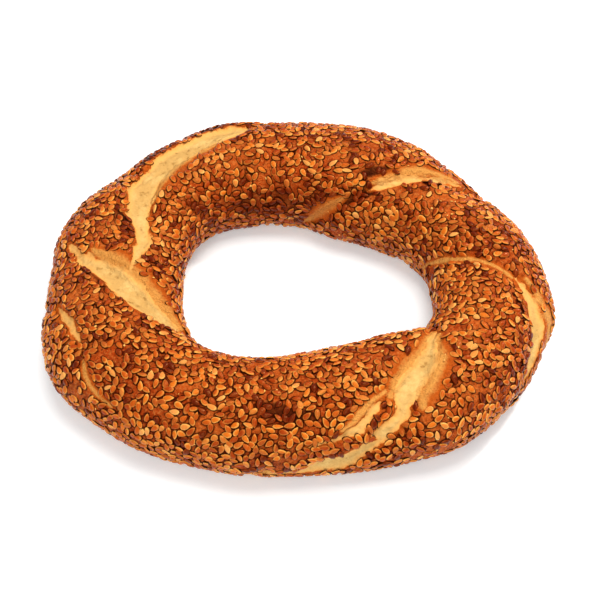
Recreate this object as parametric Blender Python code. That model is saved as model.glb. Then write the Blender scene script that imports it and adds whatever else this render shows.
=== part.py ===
"""A simit: two ropes of dough twisted round each other, closed into a ring and baked under sesame seeds.

Sizes are in millimetres until the points are handed to Blender. A place on the dough has a bearing, in
degrees counterclockwise from +X as seen from above, and a turn, in degrees round the rope's section:
0 is the outer side, 90 the top, 180 the side of the hole and 270 the underside.
"""

import bpy
import numpy as np

MM = 0.001
POINTS_AROUND = 120
POINTS_IN_SECTION = 36

# The ring at every 22.5 degrees of bearing: reach of the rope's middle, its half width and its height.
RING = (
    (63.5, 20.0, 28.5),
    (58.0, 18.5, 28.5),
    (53.0, 20.0, 29.0),
    (51.5, 22.5, 30.0),
    (52.5, 20.0, 29.5),
    (57.0, 21.0, 29.0),
    (59.0, 18.0, 29.0),
    (61.5, 21.5, 29.5),
    (61.0, 22.5, 30.0),
    (64.0, 24.0, 30.5),
    (62.0, 21.0, 30.0),
    (56.5, 19.5, 29.5),
    (52.5, 20.5, 29.5),
    (53.5, 22.0, 30.0),
    (58.5, 23.0, 30.0),
    (64.5, 19.5, 29.0),
)

# The section is fuller than an ellipse, widest a little under half its height and flat where it lies.
WIDEST_AT = 0.46
FULLNESS = 0.9
UNDERSIDE_DROP = 1.3
EDGE_ROUNDING = 1.5

# The valleys where one rope meets the other. A knot is bearing, turn, half width of the torn floor and
# depth. The ropes make three full turns, so six valleys climb over the ring from its rim to its hole.
VALLEYS = (
    ((98, 20, 0.6, 0.8), (103, 54, 1.5, 1.8), (118, 64, 2.8, 2.4), (139, 77, 4.2, 2.6),
     (155, 96, 4.0, 2.6), (166, 110, 2.2, 2.2), (182, 106, 0.8, 1.2)),
    ((175, 42, 0.6, 0.5), (179, 62, 1.4, 1.8), (184, 87, 3.4, 2.6), (197, 115, 3.8, 2.6),
     (208, 138, 2.4, 2.4), (217, 152, 1.0, 2.2), (228, 185, 0.8, 1.6)),
    ((189, 5, 0.6, 1.0), (193, 41, 1.3, 1.4), (202, 57, 0.9, 1.6), (211, 49, 0.7, 1.2),
     (222, 31, 0.5, 0.6)),
    ((27, 5, 0.8, 1.6), (30, 56, 0.9, 2.4), (41, 77, 1.1, 2.4), (53, 121, 0.9, 2.2),
     (68, 157, 0.9, 1.6), (90, 198, 0.8, 0.8)),
    ((328, 8, 0.8, 0.5), (341, 33, 2.4, 1.6), (349, 55, 2.6, 2.2), (358, 87, 1.4, 2.0),
     (365, 134, 0.9, 1.8), (374, 188, 0.8, 1.2)),
    ((270, 352, 0.8, 0.4), (287, 369, 2.4, 2.2), (298, 418, 4.4, 2.6), (309, 446, 3.8, 2.4),
     (323, 469, 2.4, 2.2), (331, 500, 1.0, 2.4), (334, 545, 0.8, 2.0)),
    ((148, 0, 0.6, 2.2), (147, 40, 0.6, 2.4), (143, 64, 0.6, 1.8)),
)

# Between two valleys a rope swells out: bearing and turn of each swelling's top, its radius and its rise.
SWELLINGS = (
    (18, 10, 16, 0.8),
    (52, 30, 16, 0.8),
    (133, 45, 15, 1.1),
    (169, 20, 14, 1.0),
    (209, 10, 16, 0.8),
    (257, 0, 17, 1.0),
    (308, 10, 17, 1.6),
    (349, 10, 16, 1.3),
)

# Under the ring the same valleys run on from the hole to the rim: bearing where each leaves the hole
# and bearing where it reaches the rim. They are narrow and shallow, pressed shut by the ring's weight.
UNDERSIDE_RUNS = ((90, 172), (230, 262), (336, 386), (252, 328), (14, 98))
UNDERSIDE_TURNS = (188, 350)
UNDERSIDE_FLOOR = 0.6
UNDERSIDE_DEPTH = 1.0

# A valley has a floor, walls that rise from it within a few millimetres, and round shoulders.
WALL_SPREAD = 2.8
SHOULDER_SPREAD = 14.0
UNDERSIDE_SHOULDER_SPREAD = 4.0
SHOULDER_SHARE = 0.45
STEPS_BETWEEN_KNOTS = 10

CRUST_COLOUR = (0.42, 0.12, 0.03, 1.0)
CRUST_ROUGHNESS = 0.55


def spline_weights(part):
    """Shares of the knot before, the two knots around and the knot after, for a Catmull-Rom spline."""
    return (
        0.5 * (-part + 2 * part**2 - part**3),
        0.5 * (2 - 5 * part**2 + 3 * part**3),
        0.5 * (part + 4 * part**2 - 3 * part**3),
        0.5 * (part**3 - part**2),
    )


def ring_sizes(bearing):
    """Reach, half width and height of the rope at each bearing."""
    table = np.array(RING)
    place = bearing / 360 * len(table)
    knot = np.floor(place).astype(int)
    weights = spline_weights(place - knot)
    total = sum(
        weight[..., None] * table[(knot + offset) % len(table)]
        for offset, weight in zip((-1, 0, 1, 2), weights)
    )
    return total[..., 0], total[..., 1], total[..., 2]


def dough(bearing, turn):
    """Points of the smooth ring, before any valley is pressed into it."""
    reach, half_width, height = ring_sizes(bearing)
    across = np.cos(np.radians(turn))
    upward = np.sin(np.radians(turn))
    middle = WIDEST_AT * height
    out = reach + half_width * np.sign(across) * np.abs(across) ** FULLNESS
    over = middle + (height - middle) * upward
    under = middle + UNDERSIDE_DROP * middle * upward
    rounded = np.where(under < -EDGE_ROUNDING, 0, (under + EDGE_ROUNDING) ** 2 / (4 * EDGE_ROUNDING))
    under = np.where(under < EDGE_ROUNDING, rounded, under)
    level = np.where(upward > 0, over, under)
    angle = np.radians(bearing)
    return np.stack([out * np.cos(angle), out * np.sin(angle), level], axis=-1)


def outward(bearing, turn):
    """Unit vectors square to the smooth ring."""
    step = 0.5
    along = dough(bearing + step, turn) - dough(bearing - step, turn)
    around = dough(bearing, turn + step) - dough(bearing, turn - step)
    square = np.cross(along, around)
    return square / np.linalg.norm(square, axis=-1, keepdims=True)


def run_through(knots):
    """A valley's knots joined by a smooth line: its points, and half width and depth at each."""
    knots = np.array(knots, float)
    ends = np.vstack([2 * knots[0] - knots[1], knots, 2 * knots[-1] - knots[-2]])
    place = np.linspace(0, len(knots) - 1, STEPS_BETWEEN_KNOTS * (len(knots) - 1) + 1)
    knot = np.minimum(place.astype(int), len(knots) - 2)
    weights = spline_weights(place - knot)
    line = sum(weight[:, None] * ends[knot + offset] for offset, weight in enumerate(weights))
    return dough(line[:, 0], line[:, 1]), line[:, 2], line[:, 3]


def valley_dip(points, knots, shoulder_spread):
    """How far one valley presses in each point."""
    line, floors, depths = run_through(knots)
    dip = np.zeros(len(points))
    for start in range(len(line) - 1):
        leg = line[start + 1] - line[start]
        offset = points - line[start]
        share = np.clip(offset @ leg / (leg @ leg), 0, 1)
        away = np.linalg.norm(offset - share[:, None] * leg, axis=1)
        floor = floors[start] + share * (floors[start + 1] - floors[start])
        depth = depths[start] + share * (depths[start + 1] - depths[start])
        rise = np.clip((away - floor) / WALL_SPREAD, 0, 1)
        wall = 1 - rise * rise * (3 - 2 * rise)
        shoulder = np.clip(1 - (away / shoulder_spread) ** 2, 0, 1) ** 2
        pressed = depth * ((1 - SHOULDER_SHARE) * wall + SHOULDER_SHARE * shoulder)
        dip = np.maximum(dip, pressed)
    return dip


def underside_knots(leaves, reaches):
    """Knots of one valley's run under the ring, evenly from the hole to the rim."""
    bearings = np.linspace(leaves, reaches, 5)
    turns = np.linspace(*UNDERSIDE_TURNS, 5)
    return [(bearing, turn, UNDERSIDE_FLOOR, UNDERSIDE_DEPTH) for bearing, turn in zip(bearings, turns)]


def swelling_rise(points):
    """How far the swellings push out each point."""
    rise = np.zeros(len(points))
    for bearing, turn, radius, height in SWELLINGS:
        top = dough(np.array(bearing), np.array(turn))
        away = np.linalg.norm(points - top, axis=1)
        rise += height * np.clip(1 - (away / radius) ** 2, 0, 1) ** 2
    return rise


def twisted_dough(bearing, turn):
    """Points of the ring with all its valleys and swellings."""
    points = dough(bearing, turn)
    dips = [valley_dip(points, knots, SHOULDER_SPREAD) for knots in VALLEYS]
    dips += [
        valley_dip(points, underside_knots(*run), UNDERSIDE_SHOULDER_SPREAD) for run in UNDERSIDE_RUNS
    ]
    rise = swelling_rise(points) * (points[:, 2] > 0) - np.max(dips, axis=0)
    points = points + rise[:, None] * outward(bearing, turn)
    points[:, 2] = np.maximum(points[:, 2], 0)
    return points


def crust_material():
    material = bpy.data.materials.new("baked_crust")
    material.use_nodes = True
    shader = material.node_tree.nodes["Principled BSDF"]
    shader.inputs["Base Color"].default_value = CRUST_COLOUR
    shader.inputs["Roughness"].default_value = CRUST_ROUGHNESS
    shader.inputs["Metallic"].default_value = 0.0
    return material


def build_simit(collection):
    """A torus whose every vertex is moved to its place on the twisted ring."""
    bpy.ops.mesh.primitive_torus_add(
        major_segments=POINTS_AROUND,
        minor_segments=POINTS_IN_SECTION,
        major_radius=2.0,
        minor_radius=1.0,
    )
    simit = bpy.context.object
    simit.name = "simit"
    simit.data.name = "simit"
    torus = np.empty(len(simit.data.vertices) * 3)
    simit.data.vertices.foreach_get("co", torus)
    torus = torus.reshape(-1, 3)
    bearing = np.degrees(np.arctan2(torus[:, 1], torus[:, 0])) % 360
    from_middle = np.hypot(torus[:, 0], torus[:, 1]) - 2.0
    turn = np.degrees(np.arctan2(torus[:, 2], from_middle)) % 360
    points = twisted_dough(bearing, turn)
    simit.data.vertices.foreach_set("co", (points * MM).ravel())
    simit.data.update()
    simit.data.shade_smooth()
    simit.data.materials.append(crust_material())
    for holder in list(simit.users_collection):
        holder.objects.unlink(simit)
    collection.objects.link(simit)
    return simit


def main():
    for thing in list(bpy.data.objects):
        bpy.data.objects.remove(thing)
    collection = bpy.data.collections.new("Simit")
    bpy.context.scene.collection.children.link(collection)
    build_simit(collection)


main()
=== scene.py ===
"""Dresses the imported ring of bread: its torn and browned crust, the sesame seeds on it, and a plain stage.

Inside the functions a length is in millimetres, and it becomes metres as it enters a mesh. A place on the
dough has a bearing, in degrees counterclockwise from +X as seen from above, and a turn, in degrees round
the rope's section: 0 is the outer side, 90 the top, 180 the side of the hole and 270 the underside.
"""

import functools
import math

import bpy
import numpy as np
from bpy.props import FloatProperty, FloatVectorProperty, IntProperty, PointerProperty
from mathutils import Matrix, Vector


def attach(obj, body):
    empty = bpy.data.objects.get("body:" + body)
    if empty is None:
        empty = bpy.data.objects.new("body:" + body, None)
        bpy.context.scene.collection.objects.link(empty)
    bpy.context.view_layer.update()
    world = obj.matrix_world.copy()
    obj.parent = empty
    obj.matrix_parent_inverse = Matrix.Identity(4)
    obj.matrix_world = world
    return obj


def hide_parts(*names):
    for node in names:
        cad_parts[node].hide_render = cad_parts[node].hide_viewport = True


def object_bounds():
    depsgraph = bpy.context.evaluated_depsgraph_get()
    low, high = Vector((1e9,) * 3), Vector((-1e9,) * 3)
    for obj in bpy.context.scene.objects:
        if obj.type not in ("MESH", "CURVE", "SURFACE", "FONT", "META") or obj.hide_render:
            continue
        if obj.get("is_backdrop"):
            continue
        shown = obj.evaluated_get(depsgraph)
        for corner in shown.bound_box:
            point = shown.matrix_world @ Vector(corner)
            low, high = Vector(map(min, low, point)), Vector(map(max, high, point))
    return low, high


bl_info = {
    "name": "Sesame Ring",
    "version": (1, 0, 0),
    "blender": (4, 5, 0),
    "location": "3D View > Sidebar > Bread",
    "description": "Bakes a crust, sesame seeds and a stage around the packed ring of bread",
    "category": "Object",
}

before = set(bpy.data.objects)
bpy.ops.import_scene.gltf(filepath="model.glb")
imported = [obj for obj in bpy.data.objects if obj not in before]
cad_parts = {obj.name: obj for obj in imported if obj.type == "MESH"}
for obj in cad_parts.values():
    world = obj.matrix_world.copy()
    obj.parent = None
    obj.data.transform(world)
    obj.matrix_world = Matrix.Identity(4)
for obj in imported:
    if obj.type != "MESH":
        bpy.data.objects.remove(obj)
CAD_LOW, CAD_HIGH = (np.array(corner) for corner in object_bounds())
MM = 0.001

# --- The dough -------------------------------------------------------------------------------------

# The ring at every 22.5 degrees of bearing: reach of the rope's middle, its half width and its height.
RING = (
    (63.5, 20.0, 28.5),
    (58.0, 18.5, 28.5),
    (53.0, 20.0, 29.0),
    (51.5, 22.5, 30.0),
    (52.5, 20.0, 29.5),
    (57.0, 21.0, 29.0),
    (59.0, 18.0, 29.0),
    (61.5, 21.5, 29.5),
    (61.0, 22.5, 30.0),
    (64.0, 24.0, 30.5),
    (62.0, 21.0, 30.0),
    (56.5, 19.5, 29.5),
    (52.5, 20.5, 29.5),
    (53.5, 22.0, 30.0),
    (58.5, 23.0, 30.0),
    (64.5, 19.5, 29.0),
)
WIDEST_AT = 0.46
FULLNESS = 0.9
UNDERSIDE_DROP = 1.3
EDGE_ROUNDING = 1.5

# The valleys between the two ropes. A knot is bearing, turn, half width of the floor and depth.
VALLEYS = (
    ((98, 20, 0.6, 0.8), (103, 54, 1.5, 1.8), (118, 64, 2.8, 2.4), (139, 77, 4.2, 2.6),
     (155, 96, 4.0, 2.6), (166, 110, 2.2, 2.2), (182, 106, 0.8, 1.2)),
    ((175, 42, 0.6, 0.5), (179, 62, 1.4, 1.8), (184, 87, 3.4, 2.6), (197, 115, 3.8, 2.6),
     (208, 138, 2.4, 2.4), (217, 152, 1.0, 2.2), (228, 185, 0.8, 1.6)),
    ((189, 5, 0.6, 1.0), (193, 41, 1.3, 1.4), (202, 57, 0.9, 1.6), (211, 49, 0.7, 1.2),
     (222, 31, 0.5, 0.6)),
    ((27, 5, 0.8, 1.6), (30, 56, 0.9, 2.4), (41, 77, 1.1, 2.4), (53, 121, 0.9, 2.2),
     (68, 157, 0.9, 1.6), (90, 198, 0.8, 0.8)),
    ((328, 8, 0.8, 0.5), (341, 33, 2.4, 1.6), (349, 55, 2.6, 2.2), (358, 87, 1.4, 2.0),
     (365, 134, 0.9, 1.8), (374, 188, 0.8, 1.2)),
    ((270, 352, 0.8, 0.4), (287, 369, 2.4, 2.2), (298, 418, 4.4, 2.6), (309, 446, 3.8, 2.4),
     (323, 469, 2.4, 2.2), (331, 500, 1.0, 2.4), (334, 545, 0.8, 2.0)),
    ((148, 0, 0.6, 2.2), (147, 40, 0.6, 2.4), (143, 64, 0.6, 1.8)),
)

# Under the ring the valleys run on, narrow and shallow, from a bearing at the hole to one at the rim.
UNDERSIDE_RUNS = ((90, 172), (230, 262), (336, 386), (252, 328), (14, 98))
UNDERSIDE_TURNS = (188, 350)
UNDERSIDE_FLOOR = 0.6
UNDERSIDE_DEPTH = 1.0

WALL_SPREAD = 2.0
SHOULDER_SPREAD = 14.0
UNDERSIDE_SHOULDER_SPREAD = 4.0
SHOULDER_SHARE = 0.45

# Between two valleys a rope swells out: bearing and turn of each swelling's top, its radius and its rise.
SWELLINGS = (
    (18, 10, 16, 0.8),
    (52, 30, 16, 0.8),
    (133, 45, 15, 1.1),
    (169, 20, 14, 1.0),
    (209, 10, 16, 0.8),
    (257, 0, 17, 1.0),
    (308, 10, 17, 1.6),
    (349, 10, 16, 1.3),
)

# --- What the oven did to it -------------------------------------------------------------------------

# Where the crust tore open and the pale crumb shows. A knot is bearing, turn and half width.
TEARS = (
    ((100, 52, 0.4), (105, 58, 2.6), (111, 65, 5.4), (119, 67, 6.0), (127, 70, 5.6), (135, 73, 5.3),
     (142, 80, 5.4), (149, 87, 5.2), (155, 95, 4.6), (160, 101, 3.9), (165, 109, 3.0), (171, 113, 2.7),
     (177, 109, 1.9), (184, 105, 0.4)),
    ((174, 47, 1.0), (178, 60, 2.2), (182, 78, 3.4), (186, 91, 4.8), (190, 99, 5.2), (195, 108, 5.2),
     (201, 118, 5.1), (206, 127, 4.8), (210, 135, 4.2), (214, 144, 3.0), (217, 154, 1.0)),
    ((192, 40, 0.8), (196, 49, 1.6), (199, 54, 1.6), (203, 57, 1.2), (206, 56, 0.4)),
    ((32, 52, 0.3), (35, 58, 0.8), (38, 67, 1.3), (42, 80, 1.6), (46, 95, 1.9), (51, 111, 1.5),
     (54, 121, 0.3)),
    ((355, 69, 0.3), (352, 59, 1.5), (349, 48, 2.3), (346, 38, 2.8), (343, 28, 3.0), (340, 20, 3.1),
     (337, 14, 2.9), (334, 9, 2.2), (331, 5, 1.2), (329, 2, 0.4)),
    ((328, 121, 0.4), (323, 109, 1.7), (317, 95, 2.9), (310, 85, 3.9), (304, 76, 4.2), (301, 67, 3.7),
     (299, 56, 2.8), (296, 42, 2.6), (292, 32, 2.8), (289, 22, 3.0), (286, 10, 3.2), (283, 2, 3.8),
     (280, -3, 4.1), (276, -6, 3.6), (273, -12, 2.0), (269, -18, 1.2), (264, -17, 1.0), (258, -15, 0.3)),
    ((294, 68, 0.3), (291, 60, 1.1), (288, 51, 1.5), (285, 42, 1.9), (281, 36, 1.5), (277, 32, 0.9),
     (272, 26, 0.4)),
)

# Strips of crust, with their seeds, that stayed on the pale crumb of the widest tear.
ISLANDS = (
    ((276, 22, 0.6), (280, 27, 1.4), (284, 30, 1.5), (287, 28, 1.2), (289, 24, 0.4)),
)

# Where the crust thinned without tearing and stayed golden.
EMBERS = (
    ((210, 52, 0.8), (213, 43, 1.4), (216, 36, 1.6), (220, 30, 1.6), (224, 28, 0.8)),
    ((373, 188, 1.2), (369, 165, 1.5), (366, 146, 1.7), (363, 121, 1.6), (361, 102, 1.5), (358, 87, 1.5),
     (355, 74, 1.4)),
    ((355, 58, 1.4), (353, 48, 2.4), (350, 37, 3.2), (348, 25, 3.8), (346, 11, 4.4), (343, -4, 3.4)),
    ((326, 112, 1.8), (321, 99, 3.4), (317, 88, 4.4), (313, 79, 4.6), (309, 70, 4.4), (305, 61, 3.8),
     (303, 51, 2.0)),
    ((327, 122, 1.6), (319, 106, 3.2), (312, 96, 4.0), (305, 88, 3.8), (300, 79, 3.0), (297, 70, 2.0)),
    ((296, 74, 1.2), (291, 67, 1.8), (287, 58, 2.0), (284, 49, 1.8), (281, 42, 1.2)),
    ((35, 52, 1.8), (40, 62, 3.2), (44, 74, 3.4), (47, 86, 3.2), (50, 98, 2.6), (54, 112, 1.6)),
    ((63, 139, 1.0), (68, 147, 2.4), (73, 157, 3.4), (78, 169, 3.4), (84, 186, 2.2), (88, 200, 1.0)),
    ((177, 74, 2.0), (180, 88, 4.0), (183, 99, 5.2), (188, 110, 5.8), (193, 121, 5.8), (199, 132, 5.2),
     (205, 143, 4.0), (212, 153, 2.0)),
    ((118, 84, 1.4), (127, 86, 2.4), (135, 88, 2.6), (144, 96, 2.0), (152, 103, 1.4)),
    ((248, -14, 0.8), (254, -18, 1.6), (261, -20, 1.8), (268, -20, 1.2)),
)

# Strokes where the oven burnt the crust and the seeds on it. The last three run along the valleys towards the
# hole and are painted shade, not burning.
SCORCHES_AND_SHADE = (
    ((108, 40, 1.5), (120, 38, 2.0), (132, 42, 2.0), (141, 52, 1.5)),
    ((160, 84, 1.0), (166, 95, 2.0), (172, 98, 1.5)),
    ((182, 66, 1.0), (186, 80, 1.4), (192, 90, 1.4), (198, 98, 1.2)),
    ((50, 90, 1.0), (56, 99, 1.6), (60, 108, 1.2)),
    ((260, 68, 2.0), (267, 63, 2.5), (274, 58, 1.5)),
    ((54, 124, 1.6), (58, 134, 1.8), (62, 143, 1.4)),
    ((66, 131, 0.8), (73, 144, 1.4), (79, 157, 1.6), (86, 176, 1.2), (91, 200, 0.8)),
    ((329, 128, 0.6), (332, 144, 1.2), (334, 166, 1.0)),
)

# Patches of painted shade on the hole side of the back of the ring, where little light falls; they darken the
# crust and its seeds: bearing, turn and radius.
HOLE_SHADE_PATCHES = (
    (70, 158, 8.0),
    (84, 164, 11.0),
    (100, 168, 12.0),
    (118, 166, 9.0),
)

# Patches that lost most of their seeds: bearing, turn and radius.
BARE_PATCHES = (
    (126, 142, 6.5),
    (262, 84, 5.5),
    (315, 42, 5.0),
    (319, 95, 3.5),
    (90, 91, 3.5),
    (214, 72, 3.5),
    (76, 106, 3.5),
    (129, 102, 3.5),
)

# Places where broken bits of seed gathered: bearing, turn and radius.
BIT_PLACES = (
    (238, 100, 5.0),
    (250, 90, 5.0),
    (261, 88, 5.0),
    (86, 96, 5.0),
    (70, 83, 4.0),
    (24, 100, 8.0),
    (320, 76, 6.0),
    (216, 78, 5.0),
    (305, 114, 5.0),
)

# --- Seeds and grid ----------------------------------------------------------------------------------

CRUST_AROUND = 500
CRUST_IN_SECTION = 198
TOP_CROWDING = 25.0
SEED_ROOM = 0.6
TEAR_DEPTH = 0.55
LUMP_HEIGHT = 0.22
STEPS_BETWEEN_KNOTS = 10

# Grid points stamped each way round a seed, and how far from it molasses and painted shade darken the crust.
STAMP_ROWS = 5
STAMP_COLUMNS = 8
SYRUP_AND_SHADE_REACH = 0.5

# A seed's rings from its top to its skirt: share of its outline and share of its thickness.
SEED_SIDES = 10
SEED_RINGS = ((0.48, 0.42), (0.84, 0.28), (1.0, 0.0), (1.36, -0.32))
BIT_SIDES = 5
BIT_RINGS = ((1.0, 0.1),)


def tone(red, green, blue):
    """A colour as seen on a screen, 0 to 255 a channel, made linear."""
    channels = np.array([red, green, blue]) / 255
    linear = np.where(channels <= 0.04045, channels / 12.92, ((channels + 0.055) / 1.055) ** 2.4)
    return tuple(float(channel) for channel in linear)


def spline_weights(part):
    """Shares of the knot before, the two knots around and the knot after, for a Catmull-Rom spline."""
    return (
        0.5 * (-part + 2 * part**2 - part**3),
        0.5 * (2 - 5 * part**2 + 3 * part**3),
        0.5 * (part + 4 * part**2 - 3 * part**3),
        0.5 * (part**3 - part**2),
    )


def ring_sizes(bearing):
    """Reach, half width and height at each bearing: the ring's table read as a closed smooth curve."""
    table = np.array(RING)
    place = bearing / 360 * len(table)
    knot = np.floor(place).astype(int)
    weights = spline_weights(place - knot)
    total = sum(
        weight[..., None] * table[(knot + offset) % len(table)]
        for offset, weight in zip((-1, 0, 1, 2), weights)
    )
    return total[..., 0], total[..., 1], total[..., 2]


def dough(bearing, turn):
    """Points of the smooth ring: a full oval section with a flat foot, carried round the ring's table."""
    reach, half_width, height = ring_sizes(bearing)
    across = np.cos(np.radians(turn))
    upward = np.sin(np.radians(turn))
    middle = WIDEST_AT * height
    out = reach + half_width * np.sign(across) * np.abs(across) ** FULLNESS
    over = middle + (height - middle) * upward
    under = middle + UNDERSIDE_DROP * middle * upward
    rounded = np.where(under < -EDGE_ROUNDING, 0, (under + EDGE_ROUNDING) ** 2 / (4 * EDGE_ROUNDING))
    under = np.where(under < EDGE_ROUNDING, rounded, under)
    level = np.where(upward > 0, over, under)
    angle = np.radians(bearing)
    return np.stack([out * np.cos(angle), out * np.sin(angle), level], axis=-1)


def square_to(surface, bearing, turn, step=0.5):
    """Unit vectors square to a surface of bearing and turn, from its differences along both."""
    along = surface(bearing + step, turn) - surface(bearing - step, turn)
    around = surface(bearing, turn + step) - surface(bearing, turn - step)
    square = np.cross(along, around)
    return square / np.linalg.norm(square, axis=-1, keepdims=True)


def smooth_step(value, low, high):
    """0 below low, 1 above high and an S-shaped rise between them."""
    part = np.clip((value - low) / (high - low), 0, 1)
    return part * part * (3 - 2 * part)


def cell_values(cells, seed):
    """A repeatable number from -1 to 1 for each cell of a cubic lattice, by mixing its whole numbers."""
    mixed = cells @ np.array([73856093, 19349663, 83492791]) + seed * 2654435761
    mixed = (mixed ^ (mixed >> 13)) * 1274126177
    mixed = mixed ^ (mixed >> 16)
    return (mixed & 0xFFFF) / 32767.5 - 1


def unevenness(points, size, seed):
    """Smooth noise from -1 to 1 with lumps of one size: the lattice values round a point, blended."""
    place = points / size
    corner = np.floor(place).astype(np.int64)
    part = place - corner
    part = part * part * (3 - 2 * part)
    total = np.zeros(len(points))
    for offset in np.ndindex(2, 2, 2):
        share = np.prod(np.where(offset, part, 1 - part), axis=-1)
        total += share * cell_values(corner + np.array(offset), seed)
    return total


def run_through(knots):
    """A smooth line through knots on the dough: its points, and what else each knot holds along it."""
    knots = np.array(knots, float)
    ends = np.vstack([2 * knots[0] - knots[1], knots, 2 * knots[-1] - knots[-2]])
    place = np.linspace(0, len(knots) - 1, STEPS_BETWEEN_KNOTS * (len(knots) - 1) + 1)
    knot = np.minimum(place.astype(int), len(knots) - 2)
    weights = spline_weights(place - knot)
    line = sum(weight[:, None] * ends[knot + offset] for offset, weight in enumerate(weights))
    return dough(line[:, 0], line[:, 1]), line[:, 2:]


def nearest_on(points, line, reach):
    """Distance from each point to a line of straight legs, and how many legs along its nearest place is.

    Only points within reach of the line's box are worked out; the others keep an endless distance.
    """
    away = np.full(len(points), np.inf)
    place = np.zeros(len(points))
    inside = np.all((points > line.min(axis=0) - reach) & (points < line.max(axis=0) + reach), axis=1)
    near = np.flatnonzero(inside)
    close = points[near]
    best = np.full(len(near), np.inf)
    best_place = np.zeros(len(near))
    for start in range(len(line) - 1):
        leg = line[start + 1] - line[start]
        offset = close - line[start]
        share = np.clip(offset @ leg / (leg @ leg), 0, 1)
        distance = np.linalg.norm(offset - share[:, None] * leg, axis=1)
        closer = distance < best
        best = np.where(closer, distance, best)
        best_place = np.where(closer, start + share, best_place)
    away[near] = best
    place[near] = best_place
    return away, place


def valley_dip(points, knots, shoulder_spread):
    """How far one valley presses in each point: a floor, walls within a few millimetres, round shoulders."""
    line, sizes = run_through(knots)
    away, place = nearest_on(points, line, shoulder_spread + 1)
    legs = np.arange(len(line))
    floor = np.interp(place, legs, sizes[:, 0])
    depth = np.interp(place, legs, sizes[:, 1])
    wall = 1 - smooth_step(away - floor, 0, WALL_SPREAD)
    shoulder = np.clip(1 - (np.minimum(away, shoulder_spread) / shoulder_spread) ** 2, 0, 1) ** 2
    return depth * ((1 - SHOULDER_SHARE) * wall + SHOULDER_SHARE * shoulder)


def underside_knots(leaves, reaches):
    """Knots of one valley's run under the ring, evenly from the hole to the rim."""
    bearings = np.linspace(leaves, reaches, 5)
    turns = np.linspace(*UNDERSIDE_TURNS, 5)
    return [(bearing, turn, UNDERSIDE_FLOOR, UNDERSIDE_DEPTH) for bearing, turn in zip(bearings, turns)]


def swelling_rise(points):
    """How far the swellings push out each point."""
    rise = np.zeros(len(points))
    for bearing, turn, radius, height in SWELLINGS:
        top = dough(np.array(bearing), np.array(turn))
        away = np.linalg.norm(points - top, axis=1)
        rise += height * np.clip(1 - (away / radius) ** 2, 0, 1) ** 2
    return rise


def stroke_cover(points, strokes, reach=12.0, relative=False):
    """How far inside the nearest stroke each point lies, in millimetres, and below zero outside it.

    A relative cover is in half widths of the stroke instead: 1 along its middle and 0 at its edge.
    """
    cover = np.full(len(points), -reach)
    for knots in strokes:
        line, sizes = run_through(knots)
        away, place = nearest_on(points, line, reach)
        half_width = np.interp(place, np.arange(len(line)), sizes[:, 0])
        cover = np.maximum(cover, (half_width - away) / (half_width if relative else 1))
    return cover


def torn_cover(points):
    """How far inside a tear each point lies, with ragged edges and with the strips of crust taken out."""
    ragged = 0.7 * unevenness(points, 4.0, 11) + 0.45 * unevenness(points, 1.7, 12)
    torn = stroke_cover(points, TEARS)
    kept = stroke_cover(points, ISLANDS) + 0.3 * unevenness(points, 1.5, 13)
    return np.minimum(torn + ragged * np.clip(torn + 2.5, 0, 1), -kept)


def patch_cover(points, patches):
    """1 in the middle of the nearest round patch, 0 at its edge and beyond."""
    cover = np.zeros(len(points))
    for bearing, turn, radius in patches:
        away = np.linalg.norm(points - dough(np.array(bearing), np.array(turn)), axis=1)
        cover = np.maximum(cover, 1 - away / radius)
    return np.clip(cover, 0, 1)


def scorch_and_shade_share(points):
    """How dark each point is painted: 1 in the middle of a burnt stroke or of a stroke of painted valley shade,
    and up to 0.6 in a patch of painted shade on the hole side.
    """
    scorch_and_shade = smooth_step(stroke_cover(points, SCORCHES_AND_SHADE), -2.0, 1.2)
    return np.maximum(scorch_and_shade, 0.6 * smooth_step(patch_cover(points, HOLE_SHADE_PATCHES), 0.0, 0.7))


def baked_surface(bearing, turn):
    """Points of the crust: the dough with its valleys, swellings, tears and small lumps.

    The whole crust lies a seed's rise inside the solid, so that the seeds' tops reach its surface.
    """
    shape = np.shape(bearing)
    bearing, turn = np.ravel(bearing), np.ravel(turn)
    points = dough(bearing, turn)
    dips = [valley_dip(points, knots, SHOULDER_SPREAD) for knots in VALLEYS]
    dips += [
        valley_dip(points, underside_knots(*run), UNDERSIDE_SHOULDER_SPREAD) for run in UNDERSIDE_RUNS
    ]
    foot = points[:, 2] <= 0
    open_crumb = smooth_step(torn_cover(points), -0.2, 0.7)
    lumps = LUMP_HEIGHT * (unevenness(points, 6.0, 21) + 0.5 * unevenness(points, 2.6, 22))
    crumb_lumps = 0.3 * unevenness(points, 2.2, 23) + 0.2 * unevenness(points, 1.1, 24)
    stretched = smooth_step(stroke_cover(points, EMBERS, relative=True), 0.0, 0.6)
    rise = np.where(foot, 0, swelling_rise(points)) - np.max(dips, axis=0) - SEED_ROOM
    rise += np.where(foot, 0, np.minimum(lumps, 0.15) * (1 - open_crumb))
    rise += open_crumb * (crumb_lumps - TEAR_DEPTH * (1 - 0.8 * stretched))
    points = points + rise[:, None] * square_to(dough, bearing, turn)
    points[:, 2] = np.maximum(points[:, 2], SEED_ROOM)
    return points.reshape(*shape, 3)


# --- Meshes ------------------------------------------------------------------------------------------


def ring_places(around, in_section):
    """Bearings and turns of a closed grid, with its turns closer together over the top."""
    bearing = np.arange(around) * 360 / around
    share = np.arange(in_section) / in_section - 0.25
    turn = 90 + 360 * share - TOP_CROWDING * np.sin(2 * np.pi * share)
    return np.meshgrid(bearing, turn, indexing="ij")


def ring_quads(around, in_section):
    """Corner numbers of the quads of a grid that closes both ways, facing out."""
    row, column = np.meshgrid(np.arange(around), np.arange(in_section), indexing="ij")
    next_row, next_column = (row + 1) % around, (column + 1) % in_section
    corners = ((row, column), (next_row, column), (next_row, next_column), (row, next_column))
    return np.stack([r * in_section + c for r, c in corners], axis=-1).reshape(-1, 4)


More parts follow.
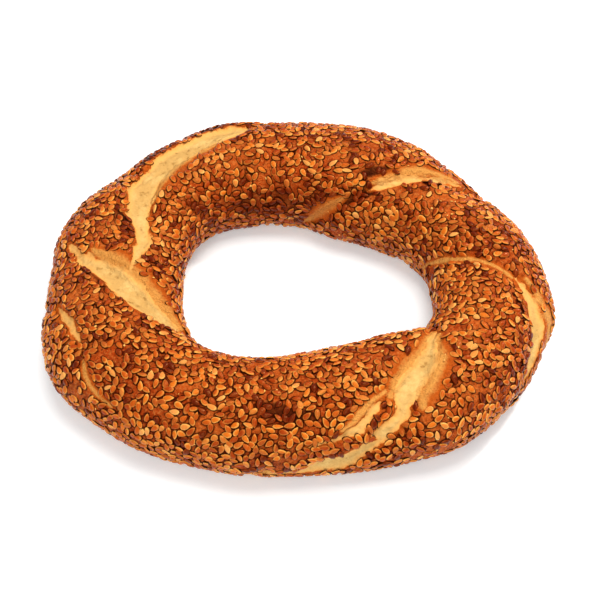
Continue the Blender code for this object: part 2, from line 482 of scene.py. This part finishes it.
def ring_bake_map(around, in_section):
    """A map for each corner of the ring's quads: its front and back halves as two strips, one over the other."""
    row, column = np.meshgrid(np.arange(around), np.arange(in_section), indexing="ij")
    half = around // 2
    strip = row // half
    places = []
    for step_row, step_column in ((0, 0), (1, 0), (1, 1), (0, 1)):
        across = (row - strip * half + step_row) / half
        upward = (strip + 0.005 + 0.99 * (column + step_column) / in_section) / 2
        places.append(np.stack([across, upward], axis=-1))
    return np.stack(places, axis=2).reshape(-1, 2)


def make_piece(name, points, faces, material, bake_map=None, marks=None):
    """A mesh object in the scene from arrays, in millimetres, that rides on the ring and takes its finish.

    Faces is an array of quads, or a list of arrays of faces with the same number of corners each.
    """
    groups = faces if isinstance(faces, list) else [faces]
    corners = np.concatenate([group.ravel() for group in groups])
    sizes = np.concatenate([np.full(len(group), group.shape[1]) for group in groups])
    mesh = bpy.data.meshes.new(name)
    mesh.vertices.add(len(points))
    mesh.vertices.foreach_set("co", (points * MM).astype(np.float32).ravel())
    mesh.loops.add(len(corners))
    mesh.loops.foreach_set("vertex_index", corners.astype(np.int32))
    mesh.polygons.add(len(sizes))
    mesh.polygons.foreach_set("loop_start", np.concatenate([[0], np.cumsum(sizes)[:-1]]).astype(np.int32))
    for label, values in (marks or {}).items():
        attribute = mesh.attributes.new(label, "FLOAT", "POINT")
        attribute.data.foreach_set("value", values.astype(np.float32))
    if bake_map is not None:
        layer = mesh.uv_layers.new(name="OFBake")
        layer.uv.foreach_set("vector", bake_map.astype(np.float32).ravel())
    mesh.update(calc_edges=True)
    mesh.shade_smooth()
    mesh.materials.append(material)
    piece = bpy.data.objects.new(name, mesh)
    bpy.context.scene.collection.objects.link(piece)
    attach(piece, "root")
    return piece


def seed_form(sides, rings):
    """One seed of unit length, width and thickness, as rings round its middle, with a dark skirt of molasses and
    painted shade.

    Its outline at an angle t from the pointed end is (cos t, sin t sin(t/2) to the 0.6), made one wide. Each
    ring is the outline at a share of its size, raised on a flattened dome. The last ring is the skirt. Returns
    its points, its triangles and quads, how near the rim and how far out on the skirt each point is, and a map
    of each face's corners.
    """
    angle = (np.arange(sides) + 0.5 * (sides % 2)) * 2 * np.pi / sides
    swell = np.sin(angle) * np.abs(np.sin(angle / 2)) ** 0.6
    outline = np.stack([np.cos(angle), swell / np.abs(swell).max()], axis=-1) / 2
    shares = np.array([share for share, _ in rings])
    levels = np.array([level for _, level in rings])
    flat = (shares[:, None, None] * outline).reshape(-1, 2)
    middle = np.column_stack([flat, np.repeat(levels, sides)])
    points = np.vstack([[-0.06, 0, 0.46], middle, [0, 0, -0.5]])
    side = np.arange(sides)
    beside = (side + 1) % sides
    first = 1 + np.arange(len(rings) - 1)[:, None] * sides
    quads = np.stack([first + side, first + sides + side, first + sides + beside, first + beside], axis=-1)
    last = 1 + (len(rings) - 1) * sides
    top = np.stack([np.zeros(sides, int), 1 + side, 1 + beside], axis=-1)
    foot = np.stack([np.full(sides, len(points) - 1), last + beside, last + side], axis=-1)
    triangles = np.vstack([top, foot])
    rim = np.concatenate([[0], np.repeat(np.minimum(shares, 1), sides), [1]])
    skirt = np.concatenate([[0], np.repeat(levels < -0.1, sides), [1]]).astype(float)
    places = points[:, :2] / (2 * shares.max()) + 0.5
    places[-1] = 0.5
    return points, triangles, quads.reshape(-1, 4), rim, skirt, places


def joined_forms(form, origins, axes, sizes, tints):
    """Many copies of one form as arrays, each scaled, turned to its own axes and set at its own origin.

    Each copy has one square cell of the bake map. Returns what make_piece needs.
    """
    points, triangles, quads, rim, skirt, places = form
    count = len(origins)
    scaled = points[None] * sizes[:, None, :]
    placed = np.einsum("npk,nkc->npc", scaled, axes) + origins[:, None, :]
    first = np.arange(count)[:, None, None] * len(points)
    cells = math.ceil(math.sqrt(count))
    corner = np.stack([np.arange(count) % cells, np.arange(count) // cells], axis=-1)[:, None, None]
    maps = [
        ((corner + 0.06 + 0.88 * places[shape][None].reshape(1, -1, 1, 2)) / cells).reshape(-1, 2)
        for shape in (triangles, quads)
    ]
    marks = {"rim": np.tile(rim, count), "skirt": np.tile(skirt, count), "tint": np.repeat(tints, len(points))}
    faces = [(triangles[None] + first).reshape(-1, 3), (quads[None] + first).reshape(-1, 4)]
    return placed.reshape(-1, 3), faces, np.vstack(maps), marks


# --- Scattering --------------------------------------------------------------------------------------


def thrown_darts(dice, count):
    """Bearings and turns of darts that fall evenly by area: grid cells drawn by their area, and jitter."""
    bearing, turn = ring_places(360, 180)
    points = dough(bearing, turn)
    along = np.roll(points, -1, axis=0) - points
    around = np.roll(points, -1, axis=1) - points
    area = np.linalg.norm(np.cross(along, around), axis=-1).ravel()
    cell = dice.choice(area.size, size=count, p=area / area.sum())
    next_turn = np.roll(turn, -1, axis=1)
    gap = (next_turn - turn) % 360
    return (
        bearing.ravel()[cell] + dice.random(count),
        turn.ravel()[cell] + dice.random(count) * gap.ravel()[cell],
    )


def lying_axes(bearing, turn, heading, tilt, roll):
    """Each thing's own axes as it lies on the crust: its length, its width and its thickness."""
    normal = square_to(baked_surface, bearing, turn, step=1.2)
    angle = np.radians(bearing)
    along = np.stack([-np.sin(angle), np.cos(angle), np.zeros(len(angle))], axis=-1)
    along -= np.sum(along * normal, axis=1, keepdims=True) * normal
    along /= np.linalg.norm(along, axis=1, keepdims=True)
    across = np.cross(normal, along)
    length = np.cos(heading)[:, None] * along + np.sin(heading)[:, None] * across
    width = np.cross(normal, length)
    pitched = np.cos(tilt)[:, None] * length + np.sin(tilt)[:, None] * normal
    lifted = np.cross(pitched, width)
    rolled = np.cos(roll)[:, None] * width + np.sin(roll)[:, None] * lifted
    return np.stack([pitched, rolled, np.cross(pitched, rolled)], axis=1)


def unclashing(centres, lengths, seed_length, seed_width, closeness):
    """Which seeds are kept, in the order thrown: each is two discs, and none overlaps one already kept.

    The kept ones are filed by cells as wide as a seed is long, so that each looks only at its neighbours.
    """
    spread = 0.25 * (seed_length - seed_width * 0.6)
    room = (closeness * seed_width) ** 2
    discs = np.stack([centres - spread * lengths, centres + spread * lengths], axis=1).tolist()
    cells = np.floor(centres / seed_length).astype(int).tolist()
    filed = {}
    kept = np.zeros(len(centres), bool)
    for number, (pair, (x, y, z)) in enumerate(zip(discs, cells)):
        close = [
            other
            for i in (x - 1, x, x + 1)
            for j in (y - 1, y, y + 1)
            for k in (z - 1, z, z + 1)
            for other in filed.get((i, j, k), ())
        ]
        if all(
            (a - d) ** 2 + (b - e) ** 2 + (c - f) ** 2 > room for d, e, f in close for a, b, c in pair
        ):
            kept[number] = True
            filed.setdefault((x, y, z), []).extend(pair)
    return kept


def beside_seeds(points, bearing, turn, centres, axes, sizes):
    """How near a seed each point of the crust's grid lies, 1 at its outline and 0 a way off.

    Each seed is stamped on the grid points round it, by their distance from it in its own lengths and widths.
    """
    columns = ring_places(1, CRUST_IN_SECTION)[1][0]
    column = np.searchsorted(columns - columns[0], (turn - columns[0]) % 360) % CRUST_IN_SECTION
    row = np.round(bearing / 360 * CRUST_AROUND).astype(int) % CRUST_AROUND
    rows = (row[:, None, None] + np.arange(-STAMP_ROWS, STAMP_ROWS + 1)[:, None]) % CRUST_AROUND
    near_columns = (column[:, None, None] + np.arange(-STAMP_COLUMNS, STAMP_COLUMNS + 1)) % CRUST_IN_SECTION
    grid = points.reshape(CRUST_AROUND, CRUST_IN_SECTION, 3)
    offset = grid[rows, near_columns] - centres[:, None, None]
    place = np.einsum("nijk,nck->nijc", offset, axes[:, :2]) / (sizes[:, None, None, :2] / 2)
    past = (np.linalg.norm(place, axis=-1) - 1) * sizes[:, 1, None, None] / 2
    near = np.zeros((CRUST_AROUND, CRUST_IN_SECTION))
    np.maximum.at(near, (rows, near_columns), 1 - smooth_step(past, 0.0, SYRUP_AND_SHADE_REACH))
    return near


def blurred(grid, rounds):
    """The grid averaged over its neighbours along and across the rope, again and again."""
    for _ in range(rounds):
        grid = sum(np.roll(grid, step, axis=0) for step in (-1, 0, 1)) / 3
        grid = sum(np.roll(grid, step, axis=1) for step in (-2, -1, 0, 1, 2)) / 5
    return grid


def seed_scatter(look):
    """Every seed's bearing, turn, centre, axes and sizes, and how dark the crust under it is painted by burning
    and by painted shade.
    """
    return thrown_seeds(look.darts, look.closeness, look.length / MM, look.width / MM, look.thickness / MM)


@functools.lru_cache
def thrown_seeds(darts, closeness, length, width, thickness):
    """The seeds that stick where darts fall, kept so that the crust and the seeds agree on them."""
    dice = np.random.default_rng(2024)
    bearing, turn = thrown_darts(dice, darts)
    plain = dough(bearing, turn)
    torn = torn_cover(plain)
    ember = stroke_cover(plain, EMBERS, relative=True)
    bare = patch_cover(plain, BARE_PATCHES) + 0.25 * unevenness(plain, 9.0, 31)
    sparse = smooth_step(unevenness(plain, 14.0, 32) + 0.5 * unevenness(plain, 6.0, 33), 0.1, 0.7)
    wanted = (torn < -0.5) & (dice.random(len(bearing)) > 0.85 * smooth_step(bare, 0.05, 0.5))
    wanted &= dice.random(len(bearing)) > 0.87 * sparse
    wanted &= dice.random(len(bearing)) > 0.99 * smooth_step(ember, -0.15, 0.25)
    bearing, turn = bearing[wanted], turn[wanted]
    count = len(bearing)
    heading = dice.uniform(0, 2 * np.pi, count)
    tilt = dice.normal(0, 0.12, count)
    roll = dice.normal(0, 0.18, count)
    axes = lying_axes(bearing, turn, heading, tilt, roll)
    centres = baked_surface(bearing, turn)
    kept = unclashing(centres, axes[:, 0], length, width, closeness)
    bearing, turn, axes, centres = bearing[kept], turn[kept], axes[kept], centres[kept]
    count = len(bearing)
    sizes = np.array([length, width, thickness]) * np.clip(dice.normal(1, 0.09, (count, 3)), 0.75, 1.25)
    lift = 0.2 + 0.05 * dice.normal(0, 1, count)
    centres = centres + lift[:, None] * axes[:, 2]
    scorch_and_shade = scorch_and_shade_share(dough(bearing, turn))
    return bearing, turn, centres, axes, sizes, scorch_and_shade


def inside_box(points):
    """Points held within the solid's box, for the few seeds that would stand proud of it."""
    return np.clip(points, CAD_LOW / MM, CAD_HIGH / MM)


# --- Shaders -----------------------------------------------------------------------------------------


# Glossy syrup reflects warmly.
WARM_GLOSS = (1.0, 0.5, 0.15, 1.0)


class Wire:
    """A number's socket in a shader. Each operator adds the Math node that it stands for."""

    def __init__(self, bench, socket):
        self.bench = bench
        self.socket = socket

    def __add__(self, other):
        return self.bench.math("ADD", self, other)

    def __sub__(self, other):
        return self.bench.math("SUBTRACT", self, other)

    def __rsub__(self, other):
        return self.bench.math("SUBTRACT", other, self)

    def __mul__(self, other):
        return self.bench.math("MULTIPLY", self, other)

    __radd__ = __add__
    __rmul__ = __mul__

    def rising(self, low, high):
        """0 below low, 1 above high and an S-shaped rise between them."""
        sockets = {"Value": self, "From Min": low, "From Max": high}
        made = self.bench.node("ShaderNodeMapRange", {"interpolation_type": "SMOOTHSTEP"}, sockets)
        return Wire(self.bench, made.outputs["Result"])

    def at_most(self, other):
        return self.bench.math("MINIMUM", self, other)

    def at_least(self, other):
        return self.bench.math("MAXIMUM", self, other)


class Bench:
    """One material and the nodes that make it."""

    def __init__(self, name):
        self.material = bpy.data.materials.new(name)
        self.material.use_nodes = True
        self.tree = self.material.node_tree
        self.tree.nodes.clear()

    def node(self, kind, settings=None, sockets=None):
        """Adds a node of a type: its settings first, then the value or the link of each socket."""
        made = self.tree.nodes.new(kind)
        for name, value in (settings or {}).items():
            setattr(made, name, value)
        for name, value in (sockets or {}).items():
            if isinstance(value, Wire):
                self.tree.links.new(value.socket, made.inputs[name])
            elif isinstance(value, bpy.types.NodeSocket):
                self.tree.links.new(value, made.inputs[name])
            else:
                made.inputs[name].default_value = value
        return made

    def math(self, operation, first, second):
        made = self.node("ShaderNodeMath", {"operation": operation}, {0: first, 1: second})
        return Wire(self, made.outputs[0])

    def place(self):
        """Places on the piece in metres."""
        return self.node("ShaderNodeTexCoord").outputs["Object"]

    def mark(self, name):
        """A number that the mesh carries at each point."""
        made = self.node("ShaderNodeAttribute", {"attribute_name": name})
        return Wire(self, made.outputs["Fac"])

    def noise(self, place, size, detail=2.0, roughness=0.5):
        """Noise about 0.5 with lumps of a size in millimetres."""
        sockets = {"Vector": place, "Scale": 1 / (size * MM), "Detail": detail, "Roughness": roughness}
        return Wire(self, self.node("ShaderNodeTexNoise", None, sockets).outputs[0])

    def pits(self, place, size):
        """Distance to the nearest of scattered points about a size apart, in millimetres."""
        sockets = {"Vector": place, "Scale": 1 / (size * MM)}
        return Wire(self, self.node("ShaderNodeTexVoronoi", None, sockets).outputs["Distance"])

    def blend(self, share, first, second):
        """A colour between two colours."""
        colours = [
            (*colour, 1.0) if isinstance(colour, tuple) and len(colour) == 3 else colour
            for colour in (first, second)
        ]
        made = self.node("ShaderNodeMix", {"data_type": "RGBA"}, {0: share, 6: colours[0], 7: colours[1]})
        return made.outputs[2]

    def bump(self, height, distance):
        """A normal from a height, where a height of one stands a distance in millimetres proud."""
        made = self.node("ShaderNodeBump", None, {"Height": height, "Distance": distance * MM})
        return made.outputs["Normal"]

    def finish(self, sockets):
        """Ends the material in a Principled BSDF."""
        shader = self.node("ShaderNodeBsdfPrincipled", None, sockets)
        end = self.node("ShaderNodeOutputMaterial")
        self.tree.links.new(shader.outputs["BSDF"], end.inputs["Surface"])
        return self.material


def crust_material(look):
    """Browned crust, golden where it thinned, burnt in places, with pale pitted crumb in the tears. Painted shade
    darkens it beside the seeds, in the valleys and on the hole side, and painted glints lighten it.
    """
    bench = Bench("baked_crust")
    place = bench.place()
    torn = bench.mark("torn")
    ember = bench.mark("ember")
    scorch_and_shade = bench.mark("scorch_and_shade")
    crowd = bench.mark("crowd")
    beside = bench.mark("beside")
    patches = bench.noise(place, 18, 3)
    mottle = bench.noise(place, 5, 4, 0.6)
    grit = bench.noise(place, 1.1, 4, 0.7)
    fray = bench.noise(place, 2.2, 3, 0.6)
    pits = bench.pits(place, 1.3).rising(0.34, 0.05)

    crust = bench.blend(patches.rising(0.38, 0.62), tuple(look.crust), tuple(look.ruddy_crust))
    crust = bench.blend(mottle.rising(0.45, 0.75) * 0.5, crust, tuple(look.glaze_and_shade))
    # Lighter specks: blistered crust, and painted glints on it.
    crust = bench.blend(grit.rising(0.46, 0.72) * 0.6, crust, tuple(look.blister_and_glint))
    crust = bench.blend((grit.rising(0.5, 0.25) + pits) * 0.5, crust, tuple(look.glaze_and_shade))
    # Painted shade: the crust darkens between crowded seeds and right beside each seed, partly as molasses and
    # partly as the shade the seeds cast.
    crust = bench.blend(crowd.rising(0.3, 0.9) * 0.2, crust, tuple(look.glaze_and_shade))
    crust = bench.blend(beside.rising(0.1, 0.8) * 0.92, crust, tuple(look.glaze_and_shade))
    # Burnt strokes, and painted shade in the valleys and on the hole side, which also dims the golden skin below.
    crust = bench.blend(scorch_and_shade.rising(0.1, 0.9) * (0.5 + mottle) * 0.85, crust, tuple(look.scorched_and_shaded))

    edge = torn + (fray - 0.5) * 1.6 + (grit - 0.5) * 0.6
    warmth = ember + (mottle - 0.5) * 1.1 + (grit - 0.5) * 0.6
    golden = warmth.rising(0.25, 0.9)
    crust = bench.blend(edge.rising(-1.3, -0.1) * 0.8, crust, tuple(look.ember))
    crust = bench.blend(warmth.rising(-0.25, 0.35) * 0.9, crust, tuple(look.ember))
    crust = bench.blend(golden * (0.9 - scorch_and_shade * 0.7), crust, tuple(look.gold))

    dull = bench.noise(place, 6, 4, 0.6).rising(0.36, 0.58) * edge.rising(0.8, 2.8)
    pores = bench.noise(place, 2.4, 3, 0.6).rising(0.55, 0.72) * (0.15 + dull)
    crumb = bench.blend(dull * 0.8, tuple(look.crumb), tuple(look.deep_crumb))
    crumb = bench.blend(grit.rising(0.42, 0.7) * 0.5, crumb, tuple(look.deep_crumb))
    crumb = bench.blend(edge.rising(2.8, 0.2) * 0.75, crumb, tuple(look.gold))
    crumb = bench.blend(edge.rising(0.7, -0.1) * (1 - golden) * 0.8, crumb, tuple(look.ember))
    crumb = bench.blend(pores * 0.8, crumb, tuple(look.pore))
    opened = edge.rising(-0.15, 0.2)
    colour = bench.blend(opened, crust, crumb)

    swells = bench.noise(place, 2.6, 2)
    blisters = bench.noise(place, 1.9, 3, 0.6)
    crumb_relief = (grit - 0.5) * 0.3 + (swells - 0.5) * 0.9 - pores * 0.2 - (1 - golden) * 0.6
    crust_relief = (mottle - 0.5) * 0.8 + (blisters - 0.5) * 2.5 + (grit - 0.5) * 1.5 - pits * 0.3
    height = opened * crumb_relief + (1 - opened) * crust_relief
    return bench.finish(
        {
            "Base Color": colour,
            "Roughness": 0.42 + opened * 0.35 + grit * 0.2,
            "Normal": bench.bump(height, 0.9),
            "Specular IOR Level": 0.1,
            "Specular Tint": WARM_GLOSS,
        }
    )


def seed_material(name, heart, rim_and_sheen, light, syrup_and_shade):
    """Toasted seed coat: a darker heart, a pale thin rim that is also a painted highlight, a tint of its own, and
    round its foot a dark ring of molasses and painted shade.
    """
    bench = Bench(name)
    place = bench.place()
    rim = bench.mark("rim")
    tint = bench.mark("tint")
    streaks = bench.noise(place, 0.7, 2)
    edge = (rim + (streaks - 0.5) * 0.4).rising(0.68, 1.0)
    # The pale rim is the seed's margin and also a painted highlight.
    colour = bench.blend(edge * 0.7, tuple(heart), tuple(rim_and_sheen))
    colour = bench.blend(tint.rising(0.6, 1.0) * 0.35, colour, tuple(light))
    colour = bench.blend((0.45 - tint).at_least(0.0) * 1.6, colour, tuple(heart))
    # The skirt's dark colour is molasses and also painted shade under the seed's edge.
    colour = bench.blend((bench.mark("skirt") + (streaks - 0.5) * 0.4).rising(0.15, 0.6), colour, tuple(syrup_and_shade))
    return bench.finish(
        {
            "Base Color": colour,
            "Roughness": 0.2 + streaks * 0.2,
            "Normal": bench.bump(streaks, 0.12),
            "Specular IOR Level": 0.32,
            "Specular Tint": WARM_GLOSS,
        }
    )


def plain_material(name, colour, roughness, glow):
    """An even matt finish with the faintest mottle, lit a little from within like a light table."""
    bench = Bench(name)
    speck = bench.noise(bench.place(), 40, 2)
    darker = tuple(channel * 0.97 for channel in colour)
    return bench.finish(
        {
            "Base Color": bench.blend(speck, tuple(colour), darker),
            "Roughness": roughness,
            "Emission Color": (1.0, 1.0, 1.0, 1.0),
            "Emission Strength": glow,
        }
    )


# --- Settings ----------------------------------------------------------------------------------------


def colour_setting(name, description, colour):
    return FloatVectorProperty(
        name=name, description=description, subtype="COLOR", size=3, min=0, max=1, default=tone(*colour)
    )


def length_setting(name, description, millimetres):
    return FloatProperty(
        name=name, description=description, unit="LENGTH", min=0, default=millimetres * MM
    )


class CrustLook(bpy.types.PropertyGroup):
    crust: colour_setting("Crust", "Browned crust between the seeds", (196, 90, 30))
    ruddy_crust: colour_setting("Ruddy Crust", "Redder patches of the crust", (172, 62, 14))
    # The blister colour also paints glints on the crust.
    blister_and_glint: colour_setting("Blister", "Lighter specks where the crust blistered", (212, 132, 66))
    # The glaze colour also paints the shade beside each seed and between crowded seeds.
    glaze_and_shade: colour_setting("Glaze", "Dark syrup that baked between the seeds", (60, 2, 0))
    # This colour also paints the shade in the valleys and on the hole side.
    scorched_and_shaded: colour_setting("Scorched", "Crust that nearly burnt", (54, 14, 4))
    ember: colour_setting("Ember", "Orange margin of a tear", (188, 86, 22))
    gold: colour_setting("Gold", "Golden skin beside the pale crumb", (222, 156, 78))
    crumb: colour_setting("Crumb", "Pale crumb in the tears", (208, 172, 108))
    deep_crumb: colour_setting("Deep Crumb", "Duller patches of the crumb", (188, 146, 84))
    pore: colour_setting("Pore", "Shaded pores in the crumb", (158, 116, 60))


class SeedLook(bpy.types.PropertyGroup):
    length: length_setting("Length", "Length of a seed", 2.8)
    width: length_setting("Width", "Width of a seed", 1.64)
    thickness: length_setting("Thickness", "Thickness of a seed", 0.92)
    closeness: FloatProperty(
        name="Closeness", description="Least room between seeds, in widths", default=0.84, min=0.5, max=2
    )
    darts: IntProperty(name="Darts", description="Seeds thrown at the crust", default=60000, min=100)
    bits: IntProperty(name="Bits", description="Broken bits of seed", default=700, min=0)
    # Each rim colour is a seed's pale margin and also a painted highlight along it.
    golden: colour_setting("Golden", "Heart of a lightly toasted seed", (192, 96, 22))
    golden_rim_and_sheen: colour_setting("Golden Rim", "Rim of a lightly toasted seed", (232, 172, 86))
    amber: colour_setting("Amber", "Heart of an evenly toasted seed", (170, 72, 13))
    amber_rim_and_sheen: colour_setting("Amber Rim", "Rim of an evenly toasted seed", (220, 150, 68))
    toasted: colour_setting("Toasted", "Heart of a well toasted seed", (144, 50, 8))
    toasted_rim_and_sheen: colour_setting("Toasted Rim", "Rim of a well toasted seed", (198, 122, 50))
    # The syrup colour is also painted shade under each seed's edge.
    syrup_and_shade: colour_setting("Syrup", "Dark syrup round the foot of each seed", (36, 1, 0))
    dark: colour_setting("Dark", "Heart of a scorched seed", (86, 16, 2))
    dark_rim_and_sheen: colour_setting("Dark Rim", "Rim of a scorched seed", (142, 54, 12))
    pale: colour_setting("Pale", "Broken bits of seed", (236, 192, 114))


class StageLook(bpy.types.PropertyGroup):
    floor: colour_setting("Floor", "Colour of the floor", (229, 238, 248))
    key_power: FloatProperty(name="Key", description="Power of the soft key light", default=5.6, unit="POWER")
    kick_power: FloatProperty(name="Kick", description="Power of the small side light", default=5.0, unit="POWER")
    fill_power: FloatProperty(name="Fill", description="Power of the soft fill", default=4.4, unit="POWER")
    surround: FloatProperty(name="Surround", description="Brightness of the white surround", default=0.48)
    glow: FloatProperty(name="Glow", description="Light from within the floor", default=0.22, min=0)
    lens: FloatProperty(name="Lens", description="Focal length of the camera", default=101.2, unit="CAMERA")
    distance: length_setting("Distance", "From the camera to the ring", 560)
    elevation: FloatProperty(
        name="Elevation", description="Camera's height angle", default=math.radians(50), unit="ROTATION"
    )


# --- Operators ---------------------------------------------------------------------------------------


class BREAD_OT_crust(bpy.types.Operator):
    """Bake the crust of the ring, with its tears and its crumb"""

    bl_idname = "bread.crust"
    bl_label = "Bake Crust"

    def execute(self, context):
        seeds = context.scene.seed_look
        bearing, turn = ring_places(CRUST_AROUND, CRUST_IN_SECTION)
        points = baked_surface(bearing, turn).reshape(-1, 3)
        beside = beside_seeds(points, *seed_scatter(seeds)[:-1])
        plain = dough(bearing, turn).reshape(-1, 3)
        marks = {
            "torn": torn_cover(plain),
            "ember": stroke_cover(plain, EMBERS, relative=True),
            "scorch_and_shade": scorch_and_shade_share(plain),
            "beside": beside.ravel(),
            "crowd": blurred(beside, 4).ravel(),
        }
        piece = make_piece(
            "baked_crust",
            points,
            ring_quads(CRUST_AROUND, CRUST_IN_SECTION),
            crust_material(context.scene.crust_look),
            ring_bake_map(CRUST_AROUND, CRUST_IN_SECTION),
            marks,
        )
        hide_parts("simit")
        return {"FINISHED"}


class BREAD_OT_seeds(bpy.types.Operator):
    """Scatter the sesame seeds over the crust, by how far each is toasted"""

    bl_idname = "bread.seeds"
    bl_label = "Scatter Seeds"

    def execute(self, context):
        look = context.scene.seed_look
        _, _, centres, axes, sizes, scorch_and_shade = seed_scatter(look)
        dice = np.random.default_rng(5)
        form = seed_form(SEED_SIDES, SEED_RINGS)
        oven = 0.18 * unevenness(centres, 16.0, 41) + 0.12 * unevenness(centres, 7.0, 42)
        # Painted shade in the valleys and on the hole side counts as roast too, so seeds there fall among the
        # darker kinds.
        roast = dice.random(len(centres)) + 0.75 * scorch_and_shade + oven
        tints = dice.random(len(centres))
        kinds = (
            ("golden_seeds", -1.0, 0.2, look.golden, look.golden_rim_and_sheen),
            ("amber_seeds", 0.2, 0.54, look.amber, look.amber_rim_and_sheen),
            ("toasted_seeds", 0.54, 0.9, look.toasted, look.toasted_rim_and_sheen),
            ("dark_seeds", 0.9, 2.0, look.dark, look.dark_rim_and_sheen),
        )
        # Each kind's rim colour is also a painted highlight.
        for name, least, most, heart, rim in kinds:
            chosen = (roast >= least) & (roast < most)
            points, faces, bake_map, marks = joined_forms(
                form, centres[chosen], axes[chosen], sizes[chosen], tints[chosen]
            )
            material = seed_material(name, heart, rim, look.pale if name == "golden_seeds" else rim, look.syrup_and_shade)
            make_piece(name, inside_box(points), faces, material, bake_map, marks)
        return {"FINISHED"}


class BREAD_OT_bits(bpy.types.Operator):
    """Drop the broken bits of seed that gathered between the whole ones"""

    bl_idname = "bread.bits"
    bl_label = "Drop Bits"

    def execute(self, context):
        look = context.scene.seed_look
        dice = np.random.default_rng(77)
        bearing, turn = thrown_darts(dice, look.bits * 12)
        plain = dough(bearing, turn)
        chance = 0.04 + 1.2 * patch_cover(plain, BIT_PLACES)
        wanted = (dice.random(len(bearing)) < chance) & (torn_cover(plain) < 0.3)
        bearing, turn = bearing[wanted][: look.bits], turn[wanted][: look.bits]
        count = len(bearing)
        heading = dice.uniform(0, 2 * np.pi, count)
        tilt = dice.normal(0, 0.5, count)
        roll = dice.normal(0, 0.5, count)
        axes = lying_axes(bearing, turn, heading, tilt, roll)
        sizes = dice.uniform(0.4, 1.1, (count, 1)) * dice.uniform((0.9, 0.5, 0.3), (1.5, 1.0, 0.6), (count, 3))
        centres = baked_surface(bearing, turn) + 0.25 * axes[:, 2]
        points, faces, bake_map, marks = joined_forms(
            seed_form(BIT_SIDES, BIT_RINGS), centres, axes, sizes, dice.random(count)
        )
        material = seed_material("seed_bits", look.golden_rim_and_sheen, look.pale, look.pale, look.golden_rim_and_sheen)
        make_piece("seed_bits", inside_box(points), faces, material, bake_map, marks)
        return {"FINISHED"}


WARM_LIGHT = (1.0, 0.925, 0.81)


def soft_light(name, power, size, place, aim):
    """A square area light that faces a point."""
    light = bpy.data.lights.new(name, "AREA")
    light.energy = power
    light.size = size
    light.color = WARM_LIGHT
    lamp = bpy.data.objects.new(name, light)
    lamp.location = place
    direction = np.array(aim) - np.array(place)
    heading = math.atan2(direction[1], direction[0]) - math.pi / 2
    fall = math.acos(-direction[2] / np.linalg.norm(direction))
    lamp.rotation_euler = (fall, 0, heading)
    bpy.context.scene.collection.objects.link(lamp)
    return lamp


class BREAD_OT_stage(bpy.types.Operator):
    """Set the pale floor, the soft light and the camera"""

    bl_idname = "bread.stage"
    bl_label = "Set Stage"

    def execute(self, context):
        look = context.scene.stage_look
        scene = context.scene
        bpy.ops.mesh.primitive_plane_add(size=6, location=(0, 0, 0))
        floor = context.object
        floor.name = "floor"
        floor.data.materials.append(plain_material("floor", look.floor, 0.9, look.glow))
        floor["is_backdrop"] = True
        middle = (0, 0, 0.015)
        soft_light("key", look.key_power, 0.45, (0.08, 0.03, 0.9), middle)
        soft_light("kick", look.kick_power, 0.1, (0.48, 0.42, 0.62), middle)
        soft_light("fill", look.fill_power, 0.6, (-0.1, -0.7, 0.6), middle)
        world = bpy.data.worlds.new("surround")
        world.use_nodes = True
        world.node_tree.nodes["Background"].inputs["Color"].default_value = (1, 1, 1, 1)
        world.node_tree.nodes["Background"].inputs["Strength"].default_value = look.surround
        scene.world = world
        scene.view_settings.view_transform = "Standard"
        camera = bpy.data.cameras.new("camera")
        camera.lens = look.lens
        camera.sensor_width = 36
        holder = bpy.data.objects.new("camera", camera)
        aim = np.array([0.0004, -0.0063, 0.014])
        back = np.array([0, -math.cos(look.elevation), math.sin(look.elevation)])
        holder.location = aim + back * look.distance
        holder.rotation_euler = (math.pi / 2 - look.elevation, 0, 0)
        scene.collection.objects.link(holder)
        scene.camera = holder
        return {"FINISHED"}


class BREAD_PT_ring(bpy.types.Panel):
    """The ring's pieces and their settings"""

    bl_idname = "BREAD_PT_ring"
    bl_label = "Sesame Ring"
    bl_space_type = "VIEW_3D"
    bl_region_type = "UI"
    bl_category = "Bread"

    def draw(self, context):
        scene = context.scene
        for operator, look in (
            (BREAD_OT_crust, scene.crust_look),
            (BREAD_OT_seeds, scene.seed_look),
            (BREAD_OT_bits, None),
            (BREAD_OT_stage, scene.stage_look),
        ):
            box = self.layout.box()
            for setting in look.__annotations__ if look else ():
                box.prop(look, setting)
            box.operator(operator.bl_idname)


CLASSES = (
    CrustLook,
    SeedLook,
    StageLook,
    BREAD_OT_crust,
    BREAD_OT_seeds,
    BREAD_OT_bits,
    BREAD_OT_stage,
    BREAD_PT_ring,
)


def register():
    for each in CLASSES:
        bpy.utils.register_class(each)
    bpy.types.Scene.crust_look = PointerProperty(type=CrustLook)
    bpy.types.Scene.seed_look = PointerProperty(type=SeedLook)
    bpy.types.Scene.stage_look = PointerProperty(type=StageLook)


def unregister():
    del bpy.types.Scene.stage_look
    del bpy.types.Scene.seed_look
    del bpy.types.Scene.crust_look
    for each in reversed(CLASSES):
        bpy.utils.unregister_class(each)


def main():
    register()
    bpy.ops.bread.crust()
    bpy.ops.bread.seeds()
    bpy.ops.bread.bits()
    bpy.ops.bread.stage()


if __name__ == "__main__":
    main()
